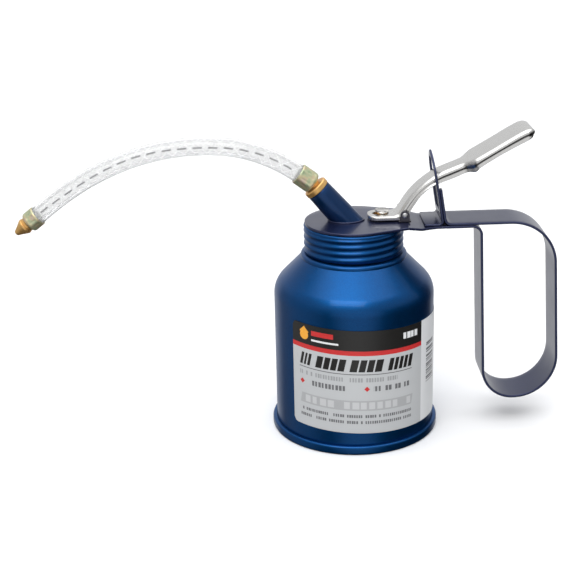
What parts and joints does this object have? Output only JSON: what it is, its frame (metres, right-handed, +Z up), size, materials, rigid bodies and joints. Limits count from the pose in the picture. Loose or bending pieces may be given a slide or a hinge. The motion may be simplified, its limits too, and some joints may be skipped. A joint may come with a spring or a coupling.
{
  "type": "pump oiler can",
  "caption": "Small hand-held oiler can with a screw cap, bent-strip loop handle, thumb lever pump and a flexible clear spout with a cone nozzle.",
  "frame": {"origin": "centre of the base, on the surface that the can stands on", "axes": "+Z up along the can's axis, +X towards the handle, -X towards the spout, +Y to complete a right-handed frame"},
  "size_m": [0.1912, 0.06, 0.1093],
  "materials": {
    "can_paint": "gloss metallic blue enamel",
    "strap_paint": "gloss dark blue enamel",
    "lever_plating": "bright nickel plate",
    "brass": "machined",
    "zinc_plating": "yellow zinc plate with a green and pink sheen",
    "steel": "plain",
    "hose_clear": "clear braided PVC",
    "label_paper": "satin printed film",
    "cork": "cork sheet",
    "seal_rubber": "matte"
  },
  "bodies": {
    "can": {"body_shell": "can_paint", "base_plate": "can_paint", "product_label": "label_paper"},
    "seal": {"cap_gasket": "cork"},
    "head": {"cap_shell": "can_paint", "handle_strap": "strap_paint", "lever_guide": "strap_paint", "pivot_bracket": "lever_plating", "pivot_pin": "steel", "pump_head": "brass", "gland_screw": "brass", "rod_packing": "seal_rubber", "pump_barrel": "brass", "return_spring": "steel", "foot_valve": "brass", "dip_tube": "brass", "strainer": "brass", "spout_base": "strap_paint", "hose_fitting": "brass", "crimp_ferrule": "zinc_plating", "spout_hose": "hose_clear", "tip_ferrule": "zinc_plating", "nozzle_tip": "brass"},
    "lever": {"thumb_lever": "lever_plating"},
    "plunger": {"plunger_rod": "steel", "piston": "brass", "piston_seal": "seal_rubber"},
    "piston_valve": {"piston_ball": "steel"},
    "inlet_valve": {"inlet_ball": "steel"}
  },
  "joints": [
    {"name": "cap_rise", "type": "slide", "parent": "can", "child": "seal", "axis": [0, 0, 1], "range_m": [0, 0.007]},
    {"name": "cap_turn", "type": "hinge", "parent": "seal", "child": "head", "pos_m": [0, 0, 0.075], "axis": [0, 0, 1], "range_deg": [0, 1080]},
    {"name": "lever_press", "type": "hinge", "parent": "head", "child": "lever", "pos_m": [0.0175, 0, 0.0796], "axis": [0, 1, 0], "range_deg": [0, 22], "stiffness_Nm_per_rad": 0.05, "springref_deg": -57.3},
    {"name": "plunger_slide", "type": "slide", "parent": "head", "child": "plunger", "axis": [0, 0, 1], "range_m": [0, 0.0032], "deforming": ["return_spring"]},
    {"name": "piston_ball_lift", "type": "slide", "parent": "plunger", "child": "piston_valve", "axis": [0, 0, 1], "range_m": [0, 0.0008]},
    {"name": "inlet_ball_lift", "type": "slide", "parent": "head", "child": "inlet_valve", "axis": [0, 0, 1], "range_m": [0, 0.0008]}
  ],
  "couplings": [
    {"joint": "cap_turn", "follows": "cap_rise", "rad_per_m": 2692.8},
    {"joint": "plunger_slide", "follows": "lever_press", "m_per_rad": 0.00825}
  ]
}
